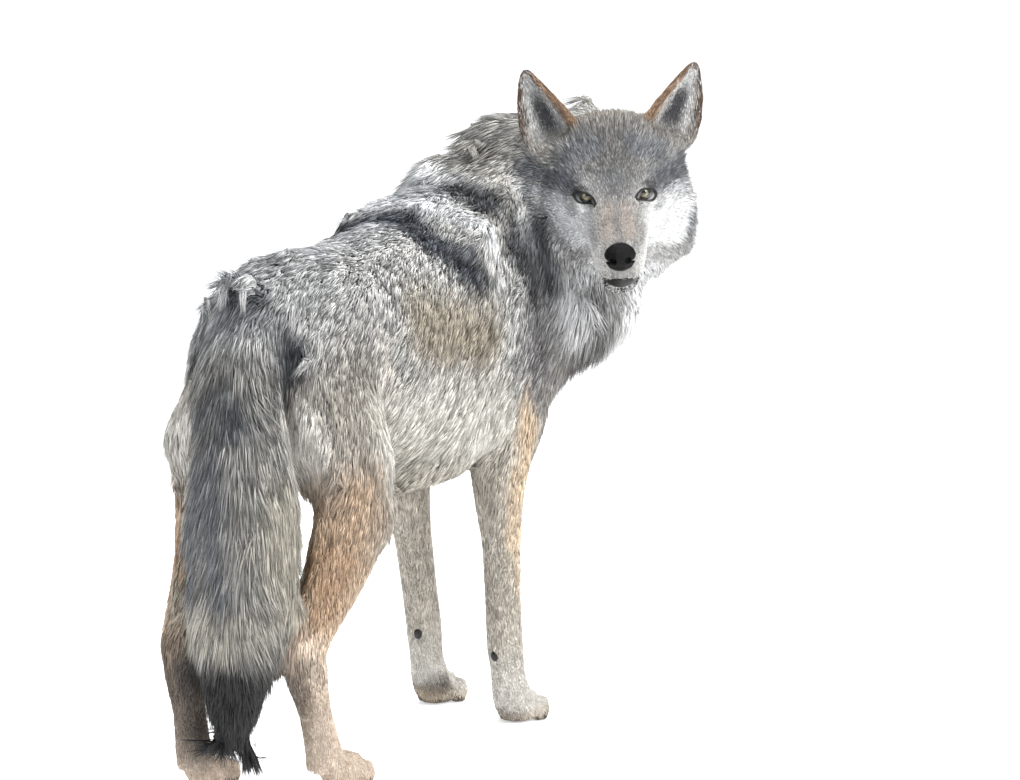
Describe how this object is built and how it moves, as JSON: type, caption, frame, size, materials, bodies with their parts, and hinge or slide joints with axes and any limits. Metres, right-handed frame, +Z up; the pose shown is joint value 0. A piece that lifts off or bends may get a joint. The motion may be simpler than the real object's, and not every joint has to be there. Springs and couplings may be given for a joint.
{
  "type": "timber wolf",
  "caption": "Life-size still model of a grey timber wolf standing on four paws, its bushy tail hanging and its head turned back over the right shoulder.",
  "frame": {"origin": "on the floor, under the middle of the whole outline seen from above", "axes": "+Z up; the body faces -Y and the tail hangs at +Y; +X is the wolf's left side, and the head turns back over the right shoulder, at -X"},
  "size_m": [0.5028, 1.0636, 0.9472],
  "materials": {
    "body_coat": "thick winter coat, cream and grey with black-tipped guard hairs",
    "limb_coat": "short dense hair, tan to cream",
    "face_coat": "short hair, grey over the forehead and white on the cheeks and muzzle",
    "ear_coat": "short velvety hair, rust behind and grey-white inside",
    "nose_skin": "moist, finely pebbled bare skin, also on the lips, lid rims and pads",
    "eye": "wet glossy eye, amber iris and black pupil",
    "claw": "smooth dark horn"
  },
  "bodies": {
    "root": {"head": "face_coat", "jaw": "face_coat", "nose": "nose_skin", "eye_left": "eye", "eye_right": "eye", "ear_left": "ear_coat", "ear_right": "ear_coat", "neck": "body_coat", "torso": "body_coat", "tail_base": "body_coat", "tail_brush": "body_coat", "tail_tip": "body_coat", "fore_upper_arm_right": "limb_coat", "fore_forearm_right": "limb_coat", "fore_paw_right": "limb_coat", "fore_claw_right_1": "claw", "fore_claw_right_2": "claw", "fore_claw_right_3": "claw", "fore_claw_right_4": "claw", "hind_thigh_right": "limb_coat", "hind_shank_right": "limb_coat", "hind_paw_right": "limb_coat", "hind_claw_right_1": "claw", "hind_claw_right_2": "claw", "hind_claw_right_3": "claw", "hind_claw_right_4": "claw", "fore_upper_arm_left": "limb_coat", "fore_forearm_left": "limb_coat", "fore_paw_left": "limb_coat", "fore_claw_left_1": "claw", "fore_claw_left_2": "claw", "fore_claw_left_3": "claw", "fore_claw_left_4": "claw", "hind_thigh_left": "limb_coat", "hind_shank_left": "limb_coat", "hind_paw_left": "limb_coat", "hind_claw_left_1": "claw", "hind_claw_left_2": "claw", "hind_claw_left_3": "claw", "hind_claw_left_4": "claw"}
  },
  "joints": []
}
